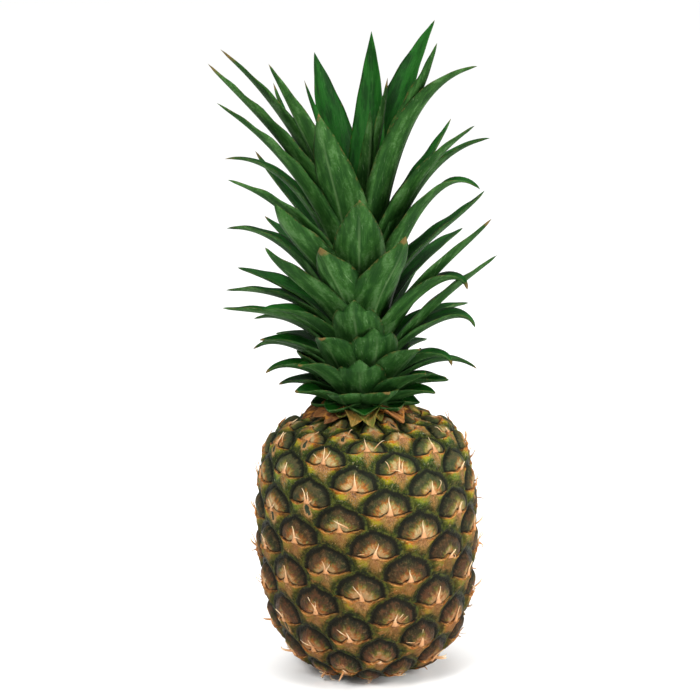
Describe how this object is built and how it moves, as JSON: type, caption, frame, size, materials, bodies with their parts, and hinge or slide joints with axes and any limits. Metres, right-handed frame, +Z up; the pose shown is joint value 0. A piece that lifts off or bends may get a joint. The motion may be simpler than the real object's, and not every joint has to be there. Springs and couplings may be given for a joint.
{
  "type": "pineapple",
  "caption": "Whole pineapple standing upright on its base: a barrel-shaped fruit covered in raised eyes with dry bract points, under a tall crown of channelled leaves.",
  "frame": {"origin": "middle of the flat spot at the base that the fruit stands on, on the stalk's cut face", "axes": "+Z up along the fruit's axis, the side shown in the picture faces -Y, +X to its right"},
  "size_m": [0.1499, 0.1341, 0.3497],
  "materials": {
    "rind": "satin skin, green-brown eyes with tan dry bracts",
    "leaf": "waxy green leaf with a pale bloom",
    "stalk": "dry cut fibre"
  },
  "bodies": {
    "root": {"fruit": "rind", "crown": "leaf", "stalk": "stalk"}
  },
  "joints": []
}
